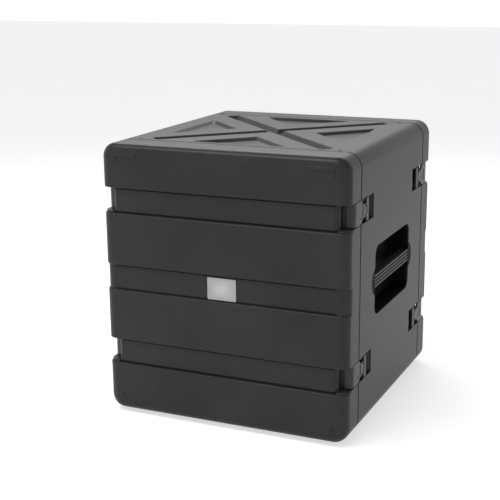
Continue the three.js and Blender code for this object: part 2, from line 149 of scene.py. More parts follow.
def block(name, low, high):
    low, high = Vector(low) * MM, Vector(high) * MM
    clear_selection()
    bpy.ops.mesh.primitive_cube_add(size=1, location=(low + high) / 2, scale=high - low)
    return named(name)


def rod(name, centre, radius, length, axis, sides=64):
    turn = {"x": (0, math.pi / 2, 0), "y": (math.pi / 2, 0, 0), "z": (0, 0, 0)}[axis]
    clear_selection()
    bpy.ops.mesh.primitive_cylinder_add(
        vertices=sides, radius=radius * MM, depth=length * MM, location=Vector(centre) * MM, rotation=turn
    )
    return named(name)


def plan(u, v, w):
    return Vector((u, v, w)) * MM


def front(u, v, w):
    return Vector((u, w, v)) * MM


def profile(u, v, w):
    return Vector((w, u, v)) * MM


def drawn(name, outline, plane, low, high):
    """A solid with a drawn outline: one corner is pulled out into the next all round, then raised."""
    points = [plane(u, v, low) for u, v in outline]
    clear_selection()
    bpy.ops.mesh.primitive_plane_add(size=MM, location=points[0])
    piece = named(name)
    bpy.ops.object.mode_set(mode="EDIT")
    bpy.ops.mesh.select_mode(type="VERT")
    bpy.ops.mesh.select_all(action="SELECT")
    bpy.ops.mesh.merge(type="CENTER")
    for here, there in zip(points, points[1:]):
        bpy.ops.mesh.extrude_vertices_move(TRANSFORM_OT_translate={"value": there - here})
    bpy.ops.mesh.select_all(action="SELECT")
    bpy.ops.mesh.edge_face_add()
    bpy.ops.mesh.extrude_region_move(TRANSFORM_OT_translate={"value": plane(0, 0, high - low)})
    bpy.ops.mesh.select_all(action="SELECT")
    bpy.ops.mesh.normals_make_consistent(inside=False)
    bpy.ops.object.mode_set(mode="OBJECT")
    return piece


def pick(piece, kind, test):
    """Opens a piece in edit mode with just the faces, edges or corners chosen that pass a test."""
    only(piece)
    bpy.ops.object.mode_set(mode="EDIT")
    bpy.ops.mesh.select_mode(type=kind)
    bpy.ops.mesh.select_all(action="DESELECT")
    bpy.ops.object.mode_set(mode="OBJECT")
    mesh = piece.data
    places = [vertex.co / MM for vertex in mesh.vertices]
    if kind == "FACE":
        for face in mesh.polygons:
            face.select = test(face.center / MM, face.normal)
    elif kind == "EDGE":
        for edge in mesh.edges:
            edge.select = test(*(places[v] for v in edge.vertices))
    else:
        for vertex, place in zip(mesh.vertices, places):
            vertex.select = test(place)
    bpy.ops.object.mode_set(mode="EDIT")


def round_edges(piece, test, radius, segments=8):
    """Rounds the edges whose two ends pass a test."""
    pick(piece, "EDGE", test)
    bpy.ops.mesh.bevel(offset=radius * MM, segments=segments, affect="EDGES")
    bpy.ops.object.mode_set(mode="OBJECT")


def same(a, b, axis, value=None):
    """Whether two corners lie at the same place along an axis, and at a given value of it."""
    level = abs(a[axis] - b[axis]) < 0.01
    return level and (value is None or abs(a[axis] - value) < 0.01)


def runs_along(axis):
    others = [i for i in range(3) if i != axis]
    return lambda a, b: all(same(a, b, i) for i in others)


def sliced(piece, places):
    """Cuts level lines round a piece at some heights."""
    only(piece)
    bpy.ops.object.mode_set(mode="EDIT")
    for z in places:
        bpy.ops.mesh.select_all(action="SELECT")
        bpy.ops.mesh.bisect(plane_co=(0, 0, z * MM), plane_no=(0, 0, 1))
    bpy.ops.object.mode_set(mode="OBJECT")


def combine(piece, operation, tools):
    for tool in tools:
        only(piece)
        change = piece.modifiers.new(tool.name, "BOOLEAN")
        change.operation = operation
        change.solver = "EXACT"
        change.object = tool
        bpy.ops.object.modifier_apply(modifier=change.name)
        bpy.data.objects.remove(tool)


def cut(piece, *tools):
    combine(piece, "DIFFERENCE", tools)


def join(piece, *tools):
    combine(piece, "UNION", tools)


def copied(piece, name, sign):
    """A copy with its own mesh, mirrored along each axis whose sign is -1."""
    twin = piece.copy()
    twin.data = piece.data.copy()
    twin.name = twin.data.name = name
    bpy.context.collection.objects.link(twin)
    twin.data.transform(Matrix.Diagonal((*sign, 1)))
    if sign[0] * sign[1] * sign[2] < 0:
        twin.data.flip_normals()
    return twin


def eased(piece, width, segments=3, angle=32):
    """Breaks the sharp edges that are left, and keeps the flat faces looking flat."""
    only(piece)
    bpy.ops.object.mode_set(mode="EDIT")
    bpy.ops.mesh.select_all(action="SELECT")
    bpy.ops.mesh.remove_doubles(threshold=0.02 * MM)
    bpy.ops.mesh.dissolve_degenerate(threshold=0.02 * MM)
    bpy.ops.object.mode_set(mode="OBJECT")
    bpy.ops.object.shade_smooth()
    bevel = piece.modifiers.new("eased edges", "BEVEL")
    bevel.width = width * MM
    bevel.segments = segments
    bevel.limit_method = "ANGLE"
    bevel.angle_limit = math.radians(angle)
    bevel.use_clamp_overlap = False
    bevel.miter_outer = "MITER_ARC"
    flat = piece.modifiers.new("flat faces", "WEIGHTED_NORMAL")
    flat.weight = 80
    for change in (bevel, flat):
        bpy.ops.object.modifier_apply(modifier=change.name)
    return piece


def levelled(piece, height):
    """Presses corners that rounding has pushed above a height down to it. It doesn't unfold their faces."""
    pick(piece, "VERT", lambda place: place.z > height)
    bpy.ops.transform.resize(value=(1, 1, 0), center_override=Vector((0, 0, height)) * MM)
    bpy.ops.object.mode_set(mode="OBJECT")
    return piece


def traced(node):
    """A copy of a frame node with its loose triangles merged into whole faces."""
    source = frame["nodes"][node]
    piece = bpy.data.objects.new(f"{node}_eased", source.data.copy())
    bpy.context.collection.objects.link(piece)
    only(piece)
    bpy.ops.mesh.customdata_custom_splitnormals_clear()
    bpy.ops.object.mode_set(mode="EDIT")
    bpy.ops.mesh.select_all(action="SELECT")
    bpy.ops.mesh.remove_doubles(threshold=0.01 * MM)
    bpy.ops.mesh.dissolve_limited(angle_limit=math.radians(1))
    bpy.ops.object.mode_set(mode="OBJECT")
    return piece


# ---- finishes ------------------------------------------------------------------------------------------


class Signal:
    """A value that changes over a surface, combined by ordinary arithmetic."""

    def __init__(self, finish, socket):
        self.finish = finish
        self.socket = socket

    def math(self, operation, *values):
        sockets = dict(enumerate(values))
        return self.finish.node("ShaderNodeMath", {"operation": operation}, sockets)

    def __add__(self, other):
        return self.math("ADD", self, other)

    def __sub__(self, other):
        return self.math("SUBTRACT", self, other)

    def __rsub__(self, other):
        return self.math("SUBTRACT", other, self)

    def __mul__(self, other):
        return self.math("MULTIPLY", self, other)

    def __abs__(self):
        return self.math("ABSOLUTE", self)

    __radd__ = __add__
    __rmul__ = __mul__

    def larger(self, other):
        return self.math("MAXIMUM", self, other)

    def step(self, low, high):
        """Rises softly from 0 at low to 1 at high, or falls if low is the larger."""
        ends = (low, high, 0, 1) if low < high else (high, low, 1, 0)
        sockets = {
            "Value": self,
            "From Min": ends[0],
            "From Max": ends[1],
            "To Min": ends[2],
            "To Max": ends[3],
        }
        return self.finish.node("ShaderNodeMapRange", {"interpolation_type": "SMOOTHSTEP"}, sockets)


class Finish:
    """One material: a principled shader, and the nodes that vary it."""

    def __init__(self, name, constants=None):
        self.material = bpy.data.materials.new(name)
        self.material.use_nodes = True
        self.tree = self.material.node_tree
        self.shader = self.tree.nodes["Principled BSDF"]
        for socket, value in (constants or {}).items():
            self.shader.inputs[socket].default_value = value
        self.place = self.node("ShaderNodeTexCoord", output="Object")

    def node(self, kind, settings=None, sockets=None, output=0):
        node = self.tree.nodes.new(kind)
        for key, value in (settings or {}).items():
            setattr(node, key, value)
        for key, value in (sockets or {}).items():
            self.feed(node.inputs[key], value)
        return Signal(self, node.outputs[output])

    def feed(self, socket, value):
        if isinstance(value, Signal):
            self.tree.links.new(value.socket, socket)
        else:
            socket.default_value = value

    def noise(self, size, detail=2.0, stretch=(1, 1, 1)):
        """Soft noise whose features are about size millimetres across."""
        place = self.place
        if stretch != (1, 1, 1):
            place = self.node("ShaderNodeMapping", None, {"Vector": place, "Scale": stretch})
        sockets = {"Vector": place, "Scale": 1 / (size * MM), "Detail": detail}
        return self.node("ShaderNodeTexNoise", None, sockets)

    def cells(self, size):
        sockets = {"Vector": self.place, "Scale": 1 / (size * MM)}
        return self.node("ShaderNodeTexVoronoi", {"feature": "SMOOTH_F1"}, sockets)

    def across(self):
        """The surface's own x, y and z."""
        split = self.node("ShaderNodeSeparateXYZ", None, {"Vector": self.place}).socket.node
        return [Signal(self, socket) for socket in split.outputs]

    def mix(self, low, high, factor):
        sockets = {"Factor": factor, 6: low, 7: high}
        return self.node("ShaderNodeMix", {"data_type": "RGBA"}, sockets, output=2)

    def surface(self, colour, roughness, height, relief, metallic=None):
        """Feeds the shader. relief is the bump's depth in millimetres."""
        bump = self.node("ShaderNodeBump", None, {"Height": height, "Distance": relief * MM, "Strength": 1.0})
        self.feed(self.shader.inputs["Base Color"], colour)
        self.feed(self.shader.inputs["Roughness"], roughness)
        self.feed(self.shader.inputs["Normal"], bump)
        if metallic is not None:
            self.feed(self.shader.inputs["Metallic"], metallic)
        return self.material


def grey(value, warmth=0.0):
    return (value * (1 + warmth), value, value * (1 - warmth), 1)


# Where wear starts and is full, in metres out from the middle of the case
WEAR = {"side": (0.250, 0.276), "end": (0.262, 0.290), "level": (0.268, 0.294)}


def moulded_plastic(name, tone, gloss, grain=1.1, rub=1.0, shine=0.5):
    """Black plastic with a fine leather grain, clouded, scuffed and rubbed lighter along the long edges."""
    finish = Finish(name, {"Specular IOR Level": shine})
    x, y, z = finish.across()
    near_side = abs(x).step(*WEAR["side"])
    near_end = abs(y).step(*WEAR["end"])
    near_top = abs(z - (TOP + UNDERSIDE) / 2 * MM).step(*WEAR["level"])
    edge = (near_side * near_top).larger(near_side * near_end).larger(near_end * near_top)
    cloud = finish.noise(180, 3)
    mottle = finish.noise(9, 4)
    pebble = finish.cells(grain)
    fine = finish.noise(grain * 0.6, 2)
    scuff = finish.noise(14, 6, (1, 1, 7)).step(0.64, 0.72) * cloud.step(0.42, 0.6)
    rubbed = edge * finish.noise(45, 6).step(0.5, 0.75) * rub
    light = cloud.step(0.3, 0.7) * 0.35 + mottle * 0.35
    colour = finish.mix(grey(tone * 0.7, -0.02), grey(tone * 1.4, -0.01), light)
    colour = finish.mix(colour, grey(tone * 2.2, 0.02), scuff * 0.3 + rubbed * 0.14)
    roughness = gloss + mottle * 0.08 + cloud * 0.06 - rubbed * 0.06 + scuff * 0.06 - 0.07
    height = pebble * 0.7 + fine * 0.3 - scuff * 0.4
    return finish.surface(colour, roughness, height, 0.2)


def rubber(name, tone, gloss=0.68):
    """Dense rubber, dulled by a little dust."""
    finish = Finish(name, {"Specular IOR Level": 0.35})
    cloud = finish.noise(40, 4)
    speck = finish.noise(1.6, 3)
    dust = finish.noise(11, 5).step(0.52, 0.72)
    colour = finish.mix(grey(tone * 0.8), grey(tone * 1.25, 0.01), cloud)
    colour = finish.mix(colour, grey(tone * 1.9 + 0.01, 0.03), dust * 0.3)
    return finish.surface(colour, gloss + dust * 0.12 + speck * 0.06, speck + cloud * 0.4, 0.12)


def powder_coat(name, tone):
    """Black powder coat with its fine orange peel, worn to steel in small chips."""
    finish = Finish(name, {"Specular IOR Level": 0.5})
    peel = finish.noise(1.8, 3)
    cloud = finish.noise(50, 3)
    chip = finish.noise(3.2, 5).step(0.72, 0.76)
    colour = finish.mix(grey(tone * 0.85), grey(tone * 1.2), cloud)
    colour = finish.mix(colour, grey(0.42), chip)
    roughness = 0.42 + peel * 0.12 - chip * 0.1
    return finish.surface(colour, roughness, peel - chip * 0.6, 0.08, metallic=chip)


def plated_steel(name):
    """Bright zinc with a faint crystal bloom and drawn lines."""
    finish = Finish(name, {"Metallic": 1.0})
    bloom = finish.cells(3.5)
    lines = finish.noise(0.8, 3, (1, 1, 9))
    tarnish = finish.noise(9, 4).step(0.5, 0.75)
    colour = finish.mix(grey(0.62), grey(0.5, 0.02), bloom)
    colour = finish.mix(colour, grey(0.32, 0.06), tarnish * 0.4)
    return finish.surface(colour, 0.28 + lines * 0.12 + tarnish * 0.15, lines, 0.03)


def satin_metal(name):
    """Satin silver sheet, brushed across, with a painted highlight that makes it a little brighter in its
    middle.
    """
    finish = Finish(name, {"Metallic": 0.6})
    x, _, z = finish.across()
    low, high = node_box("badge_plate")
    middle = (low + high) / 2 * MM
    # painted highlight: centre lightens the plate towards its middle
    centre = abs(x - middle.x).step(0.034, 0.0) * abs(z - middle.z).step(0.026, 0.0)
    brushed = finish.noise(0.5, 3, (0.08, 1, 1))
    smudge = finish.noise(12, 4)
    # the painted highlight in the middle, mixed with random smudges
    colour = finish.mix(grey(0.32, -0.01), grey(0.50), centre * 0.7 + smudge * 0.3)
    return finish.surface(colour, 0.42 + brushed * 0.12 + smudge * 0.06, brushed, 0.02)


def studio_floor(name):
    glow = {"Emission Color": (1, 1, 1, 1), "Emission Strength": 0.6}
    finish = Finish(name, {"Specular IOR Level": 0.2, **glow})
    cloud = finish.noise(700, 2)
    colour = finish.mix(grey(0.56), grey(0.60), cloud)
    return finish.surface(colour, 0.75 + cloud * 0.1, cloud, 0.01)


FINISHES = {
    "case_plastic": moulded_plastic("case_plastic", 0.021, 0.40, shine=0.2),
    "latch_plastic": moulded_plastic("latch_plastic", 0.018, 0.38, grain=0.6, rub=0.6, shine=0.35),
    "dish_plastic": moulded_plastic("dish_plastic", 0.003, 0.66, grain=0.9, rub=0.0, shine=0.1),
    "grip_rubber": rubber("grip_rubber", 0.02, 0.5),
    "seal_rubber": rubber("seal_rubber", 0.012),
    "foot_rubber": rubber("foot_rubber", 0.016),
    "rail_steel": powder_coat("rail_steel", 0.015),
    "bright_steel": plated_steel("bright_steel"),
    "badge_metal": satin_metal("badge_metal"),
}


def fitted(piece, body, slot, *nodes):
    """Gives a piece its finish and the body it moves with, and hides the frame nodes it stands for."""
    piece.data.materials.clear()
    piece.data.materials.append(FINISHES[slot])
    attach(piece, body)
    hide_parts(*nodes)
    return piece


# ---- lids ----------------------------------------------------------------------------------------------


def latch_band(level):
    return LATCH_Z[level] - BAND / 2, LATCH_Z[level] + BAND / 2


def round_face(lid):
    """Rounds the edge of the lid's face: tighter along the top and bottom than up the sides."""
    only(lid)
    weights = lid.data.attributes.new("bevel_weight_edge", "FLOAT", "EDGE")
    for edge in lid.data.edges:
        a, b = (lid.data.vertices[v].co / MM for v in edge.vertices)
        if same(a, b, 1, -HALF_DEPTH):
            lean = abs(math.atan2(b.z - a.z, b.x - a.x)) / (math.pi / 2)
            upright = 1 - abs(lean - 1)
            radius = BROW_RADIUS + (FACE_RADIUS - BROW_RADIUS) * upright
            weights.data[edge.index].value = radius / FACE_RADIUS
    bevel = lid.modifiers.new("face edge", "BEVEL")
    bevel.width = FACE_RADIUS * MM
    bevel.segments = 9
    bevel.limit_method = "WEIGHT"
    bpy.ops.object.modifier_apply(modifier=bevel.name)


def lid_block():
    """The plain lid with its rounded edges, and three bands across it pushed back."""
    lid = block("front_lid", (-HALF_WIDTH, -HALF_DEPTH, UNDERSIDE), (HALF_WIDTH, -SEAM, TOP))
    round_edges(lid, runs_along(1), EDGE_RADIUS, 14)
    round_face(lid)
    bands = [(low - SILL, high) for low, high in map(latch_band, LEVELS)] + [MIDDLE_BAND]
    sliced(lid, [z for low, high in bands for z in (low, low + DRAFT, high - DRAFT, high)])

    def in_band(place):
        return place.y < -250 and any(low + 1 < place.z < high - 1 for low, high in bands)

    pick(lid, "VERT", in_band)
    bpy.ops.transform.translate(value=(0, SET_BACK * MM, 0))
    bpy.ops.object.mode_set(mode="OBJECT")
    lips = [z for band in bands for z in band]
    on_lip = lambda a, b: any(same(a, b, 2, z) for z in lips) and max(a.y, b.y) < -270
    round_edges(lid, on_lip, LIP_RADIUS, 4)
    face = HALF_DEPTH - SET_BACK
    half, lower, upper = (PARTING_GROOVE[size] for size in ("half", "lower", "upper"))
    bottom = PARTING_GROOVE["depth"] - face
    for low, high in bands:
        for foot, height in ((low + DRAFT, lower), (high - DRAFT - upper, upper)):
            cut(lid, block("parting_groove", (-half, -face - 2, foot), (half, bottom, foot + height)))
    return lid


def hook_pocket(side, low, high):
    """The deep notch at the end of a latch band, where the hook reaches round the corner."""
    far = HALF_WIDTH + 40
    outline = [
        (far, SEAM - 1),
        (262.5, SEAM - 1),
        (262.5, 260.5),
        (255, 262),
        (255, 272),
        (256.5, 275),
        (256, 279),
        (253.5, 282.5),
        (249, 286),
        (244, 288.3),
        (244, HALF_DEPTH + 40),
        (far, HALF_DEPTH + 40),
    ]
    return drawn("hook_pocket", [(side * x, -forward) for x, forward in outline], plan, low, high)


def lid_gutters(side):
    """Hollows behind the lid's side wall, between the latch pockets."""
    upper, lower = map(latch_band, LEVELS)
    wall = WALL + 1
    spans = [(29, lower[0] - wall), (lower[1] + wall, upper[0] - wall), (upper[1] + wall, 583)]
    xs = sorted((side * 253.5, side * (HALF_WIDTH - 5.5)))
    return [block("gutter", (xs[0], -274, low), (xs[1], 1 - SEAM, high)) for low, high in spans]


def ring_block(name, half, low, high, near, far, radius):
    """A block whose four edges along the depth are rounded."""
    piece = block(name, (-half, near, low), (half, far, high))
    round_edges(piece, runs_along(1), radius, 6)
    return piece


def corner_mark(sx, up):
    """A low L-shaped pad near a corner of the lid's face."""
    mark = CORNER_MARK
    middle = (TOP + UNDERSIDE) / 2
    corner_x = mark["x"]
    corner_z = (TOP - UNDERSIDE) / 2 - mark["z"]
    width = mark["width"]
    outline = [
        (corner_x, corner_z),
        (corner_x, corner_z - mark["leg"]),
        (corner_x - width, corner_z - mark["leg"]),
        (corner_x - width, corner_z - width),
        (corner_x - mark["length"], corner_z - width),
        (corner_x - mark["length"], corner_z),
    ]
    placed = [(sx * x, middle + up * z) for x, z in outline]
    pad = drawn("corner_mark", placed, front, -HALF_DEPTH - mark["proud"], -HALF_DEPTH + 3)
    outer = lambda a, b: same(a, b, 0, sx * corner_x) and same(a, b, 2, middle + up * corner_z)
    round_edges(pad, outer, 6, 6)
    return pad


def lid_shell():
    lid = lid_block()
    join(lid, *(corner_mark(sx, up) for sx in (1, -1) for up in (1, -1)))
    for side in SIDES.values():
        cut(lid, *(hook_pocket(side, *latch_band(level)) for level in LEVELS), *lid_gutters(side))
    grow = TONGUE["wall"] + 0.5
    half, low, high = MOUTH["half"] + grow, MOUTH["low"] - grow, MOUTH["high"] + grow
    seat = ring_block("seal_seat", half, low, high, -SEAM - TONGUE["length"] - 5, 1 - SEAM, 10.5)
    half, low, high, inside = (LID_CAVITY[size] for size in ("half", "low", "high", "front"))
    cavity = ring_block("cavity", half, low, high, -inside, 1 - SEAM, 8)
    cut(lid, seat, cavity)
    return lid


def badge():
    """A blank plate with rounded corners and a low raised border."""
    low, high = node_box("badge_plate")
    plate = block("badge", low, high)
    round_edges(plate, runs_along(1), 3, 6)
    pick(plate, "FACE", lambda centre, normal: normal.y < -0.9)
    bpy.ops.mesh.inset(thickness=1.6 * MM, depth=0)
    bpy.ops.mesh.inset(thickness=0.4 * MM, depth=-0.3 * MM)
    bpy.ops.object.mode_set(mode="OBJECT")
    return eased(plate, 0.25, 2)


# ---- sleeve --------------------------------------------------------------------------------------------


def quarter_block(name, end, side, x, forward, z):
    xs = sorted(value * SIDES[side] for value in x)
    ys = sorted(-value * ENDS[end] for value in forward)
    return block(name, (xs[0], ys[0], z[0]), (xs[1], ys[1], z[1]))


def latch_seats(corner):
    """The walls round each latch's pocket in the sleeve, and the pockets themselves."""
    floor, rear, wall = LATCH_SEAT["floor"], LATCH_SEAT["rear"], LATCH_SEAT["wall"]
    walls, pockets = [], []
    for level in LEVELS:
        low, high = latch_band(level)
        outside = (low - wall, high + wall)
        span = (rear - wall, SEAM - 1)
        walls.append(quarter_block("seat", *corner, (floor - wall, HALF_WIDTH - 4), span, outside))
        ramp = [
            (HALF_WIDTH + 40, rear),
            (HALF_WIDTH, rear),
            (276, 143),
            (271.5, 146),
            (268, 149.5),
            (floor, 153),
        ]
        outline = [*ramp, (floor, SEAM + 2), (HALF_WIDTH + 40, SEAM + 2)]
        placed = [(SIDES[corner[1]] * x, -ENDS[corner[0]] * forward) for x, forward in outline]
        pockets.append(drawn("pocket", placed, plan, low, high))
    return walls, pockets


def rail_bosses(corner):
    boss = RAIL_BOSS
    return [
        quarter_block(
            "boss",
            *corner,
            (boss["outer"], HALF_WIDTH - 4),
            (boss["rear"], boss["front"]),
            (z - boss["half"], z + boss["half"]),
        )
        for z in boss["heights"]
    ]


def channel_arm():
    """One arm of the X sunk into the top, along X: a long hexagon with clipped ends."""
    reach, half = CHANNEL["reach"], CHANNEL["half"]
    end = [(reach - 5, -half), (reach, 5 - half), (reach, half - 5), (reach - 5, half)]
    return [*end, *((-u, -v) for u, v in end)]


def triangle():
    """One three-cornered field between the arms of the X, with clipped corners."""
    base, half_base, apex = TRIANGLE["base"], TRIANGLE["half_base"], TRIANGLE["apex"]
    half = [(apex + 3, 3), (base - 5, half_base - 5), (base, half_base - 9)]
    return [*half, *((u, -v) for u, v in reversed(half))]


def sunk(name, outline, centre, shrink, turn, level, depth):
    """Cuts a hollow whose walls lean in to a smaller bed, turned about the vertical through the middle."""
    bed, beyond = level - depth, level + math.copysign(1, depth)
    tool = drawn(name, outline, plan, min(bed, beyond), max(bed, beyond))
    pick(tool, "VERT", lambda place: abs(place.z - bed) < 0.01)
    bpy.ops.transform.resize(value=(*shrink, 1), center_override=Vector((centre, 0, bed)) * MM)
    bpy.ops.object.mode_set(mode="OBJECT")
    tool.rotation_euler.z = turn
    only(tool)
    bpy.ops.object.transform_apply(rotation=True)
    return tool


def fields(level, direction):
    """The four sunken triangles of the top or the underside."""
    base, half_base = TRIANGLE["base"], TRIANGLE["half_base"]
    long = base - TRIANGLE["apex"]
    inscribed = long * half_base / (half_base + math.hypot(long, half_base))
    shrink = [1 - TRIANGLE["slope"] / inscribed] * 2
    depth = direction * TRIANGLE["depth"]
    turns = [i * math.pi / 2 for i in range(4)]
    return [sunk("field", triangle(), base - inscribed, shrink, turn, level, depth) for turn in turns]


def relief():
    """Everything sunk into the top, and the fields sunk into the underside."""
    shrink = [1 - CHANNEL["slope"] / CHANNEL[size] for size in ("reach", "half")]
    arms = [
        sunk("channel", channel_arm(), 0, shrink, turn, TOP, CHANNEL["depth"])
        for turn in (math.pi / 4, -math.pi / 4)
    ]
    depth = DRAIN["depth"]
    drains = [
        rod("drain", (sx * DRAIN["x"], sy * DRAIN["y"], TOP), DRAIN["radius"], 2 * depth, "z", 24)
        for sx in (1, -1)
        for sy in (1, -1)
    ]
    return [*arms, *fields(TOP, 1), *fields(UNDERSIDE, -1), *drains]


def handle_cuts(side):
    """The hand opening in a side wall: a rounded window with a round ear at each end."""
    xs = sorted((side * (HALF_WIDTH - WALL - 8), side * (HALF_WIDTH + 40)))
    half, high = OPENING["half"], OPENING["half_height"]
    window = block("window", (xs[0], -half, HANDLE_Z - high), (xs[1], half, HANDLE_Z + high))
    round_edges(window, runs_along(0), OPENING["radius"], 8)
    middle = side * (HALF_WIDTH + 16)
    ears = [
        rod("ear", (middle, end * EAR_CUT["centre"], HANDLE_Z), EAR_CUT["radius"], 58, "x") for end in (1, -1)
    ]
    return [window, *ears]


def sleeve():
    end = SEAM - SEAM_GROOVE
    body = block("case", (-HALF_WIDTH, -end, UNDERSIDE), (HALF_WIDTH, end, TOP))
    round_edges(body, runs_along(1), EDGE_RADIUS, 14)
    grow, reach = TONGUE["wall"], SEAM + TONGUE["length"]
    half, low, high, radius = MOUTH["half"], MOUTH["low"], MOUTH["high"], MOUTH["radius"]
    join(body, ring_block("tongue", half + grow, low - grow, high + grow, -reach, reach, radius + grow))
    inside = HALF_WIDTH - WALL
    deep = SEAM - RIM_THICKNESS
    cut(
        body,
        ring_block("cavity", inside, FLOOR, CEILING, -deep, deep, EDGE_RADIUS - 10),
        ring_block("mouth", half, low, high, -reach - 20, reach + 20, radius),
    )
    seats = [latch_seats(corner) for corner in CORNERS]
    join(body, *(wall for walls, _ in seats for wall in walls))
    join(body, *(boss for corner in CORNERS for boss in rail_bosses(corner)))
    cut(body, *(pocket for _, pockets in seats for pocket in pockets))
    for side in SIDES.values():
        cut(body, *handle_cuts(side))
    cut(body, *relief())
    within = RELIEF_RIM["within"]
    on_rim = lambda a, b: same(a, b, 2, TOP) and all(abs(c) < within for c in (a.x, a.y, b.x, b.y))
    round_edges(body, on_rim, RELIEF_RIM["radius"], 4)
    return body


# ---- latches -------------------------------------------------------------------------------------------


def in_plan(points):
    return [(x, -forward) for x, forward in points]


def arc(centre, radius, start, end, steps):
    """Points round a centre between two angles, in degrees."""
    angles = [math.radians(start + (end - start) * i / steps) for i in range(steps + 1)]
    return [(centre[0] + radius * math.cos(a), centre[1] + radius * math.sin(a)) for a in angles]


def hook_notches(z):
    """Cutters that narrow the hook behind the seam, above and below."""
    neck, shoulder, full = HOOK_HALF["neck"], HOOK_HALF["shoulder"], HOOK_HALF["full"] + 1
    outline = [(-190, neck), (-206, neck), (-214, shoulder), (-221, full), (-190, full)]
    near, far = HALF_WIDTH - 30, HALF_WIDTH + 10
    return [drawn("notch", [(y, z + up * v) for y, v in outline], profile, near, far) for up in (1, -1)]


def latch_hook(z):
    """A plate that lies flush with the side, then curls in round the lid's corner to a claw."""
    outer = [(HALF_WIDTH, 250), (279.3, 254.5), (277.2, 258.6), (274, 261.8), (270, 264), (266.5, 265.2)]
    claw = [(263.6, 265.4), (263.5, 261.7), (268, 259.3), (271.6, 256.4), (274.2, 252), (275.2, 246)]
    outline = [(HALF_WIDTH, 197.4), *outer, *claw, (275.2, 203.6), (278, 197.4)]
    full = HOOK_HALF["full"]
    hook = drawn("latch_hook", in_plan(outline), plan, z - full, z + full)
    cut(hook, *hook_notches(z))
    root = [(275.2, 203.8), (HALF_WIDTH, 203.8), *arc(HOOK_PIVOT, 3.4, 0, -180, 8)]
    half = EAR[0] - 0.5
    join(hook, drawn("hook_root", in_plan(root), plan, z - half, z + half))
    sunk_by, tall = HOOK_PANEL["depth"], HOOK_PANEL["half"]
    low_corner = (HALF_WIDTH - sunk_by, -HOOK_PANEL["front"], z - tall)
    high_corner = (HALF_WIDTH + 5, -HOOK_PANEL["rear"], z + tall)
    panel = block("hook_panel", low_corner, high_corner)
    round_edges(panel, runs_along(0), HOOK_PANEL["radius"], 4)
    cut(hook, panel)
    return hook


def latch_lever(z):
    """The finger plate, with the two ears that carry the hook's pin and turn on the sleeve's pin."""
    plate, (inner, outer) = LEVER_PLATE, EAR
    low_corner = (plate["inner"], -plate["front"], z - plate["half"])
    high_corner = (HALF_WIDTH, -plate["rear"], z + plate["half"])
    lever = block("latch_lever", low_corner, high_corner)
    round_edges(lever, lambda a, b: same(a, b, 0, HALF_WIDTH) and runs_along(2)(a, b), 1.8, 4)
    cut(lever, block("mouth", (270, -200, z - inner), (HALF_WIDTH + 5, -plate["middle"], z + inner)))
    ear = [
        *arc(LEVER_PIVOT, 3.5, 110, 225, 8),
        (275.5, 178),
        (HALF_WIDTH - 0.4, 183),
        *arc(HOOK_PIVOT, 3.2, 0, 60, 4),
    ]
    for end in (1, -1):
        low, high = sorted((z + end * inner, z + end * outer))
        join(lever, drawn("lever_ear", in_plan(ear), plan, low, high))
    return lever


def fit_latches():
    """Models one latch at each level, and mirrors it to the other corners."""
    for level in LEVELS:
        models = {"hook": latch_hook(LATCH_Z[level]), "lever": latch_lever(LATCH_Z[level])}
        for end, side in CORNERS:
            for part, model in models.items():
                place = f"{end}_{side}_{level}"
                piece = copied(model, f"{place}_{part}_moulding", (SIDES[side], ENDS[end], 1))
                fitted(eased(piece, 0.7, 3), f"{place}_{part}", "latch_plastic", f"{place}_latch_{part}")
        for model in models.values():
            bpy.data.objects.remove(model)


# ---- handles -------------------------------------------------------------------------------------------


def handle_dish():
    """The black basin behind a hand opening, with a flange behind the wall and a boss in each ear."""
    half, high, radius = OPENING["half"], OPENING["half_height"], OPENING["radius"]
    rim = HALF_WIDTH - WALL - 0.3
    sheet, flange = DISH["sheet"], DISH["flange"]

    def rounded(name, grow, near, far):
        low_corner = (near, -half - grow, HANDLE_Z - high - grow)
        high_corner = (far, half + grow, HANDLE_Z + high + grow)
        piece = block(name, low_corner, high_corner)
        round_edges(piece, runs_along(0), radius + grow, 8)
        return piece

    dish = rounded("handle_dish", sheet, DISH["floor"], rim)
    round_edges(dish, lambda a, b: same(a, b, 0, DISH["floor"]), 10, 5)
    back, gap = DISH_BOSS["back"], DISH_BOSS["gap"]
    middle, length = (back + HALF_WIDTH - gap) / 2, HALF_WIDTH - (back + gap)
    bosses = [
        rod("boss", (middle, end * EAR_CUT["centre"], HANDLE_Z), EAR_CUT["radius"] - 1, length, "x")
        for end in (1, -1)
    ]
    join(dish, rounded("flange", flange, rim - sheet, rim), *bosses)
    basin = rounded("basin", 0, DISH["floor"] + sheet, HALF_WIDTH + 40)
    round_edges(basin, lambda a, b: same(a, b, 0, DISH["floor"] + sheet), 8, 5)
    cut(dish, basin)
    return dish


def grip():
    """A bar with rounded back corners and four long ribs on its face."""
    low, high = GRIP_LOW, GRIP_HIGH
    bar = block("handle_grip", low, high)
    round_edges(bar, lambda a, b: same(a, b, 0, low.x) and same(a, b, 2), 5, 5)
    ribs, groove, depth = GRIP_RIBS["count"], GRIP_RIBS["groove"], GRIP_RIBS["depth"]
    pitch = (high.z - low.z + groove) / ribs
    for rib in range(1, ribs):
        z = low.z + rib * pitch - groove
        cut(bar, block("groove", (high.x - depth, low.y - 1, z), (high.x + 1, high.y + 1, z + groove)))
    return bar


# ---- the assembly --------------------------------------------------------------------------------------


def fit_lids():
    model = lid_shell()
    for end, sign in ENDS.items():
        lid = copied(model, f"{end}_lid_moulding", (1, sign, 1))
        fitted(eased(lid, 1.0, 3), f"{end}_lid", "case_plastic", f"{end}_lid_shell")
    bpy.data.objects.remove(model)
    fitted(badge(), "front_lid", "badge_metal", "badge_plate")


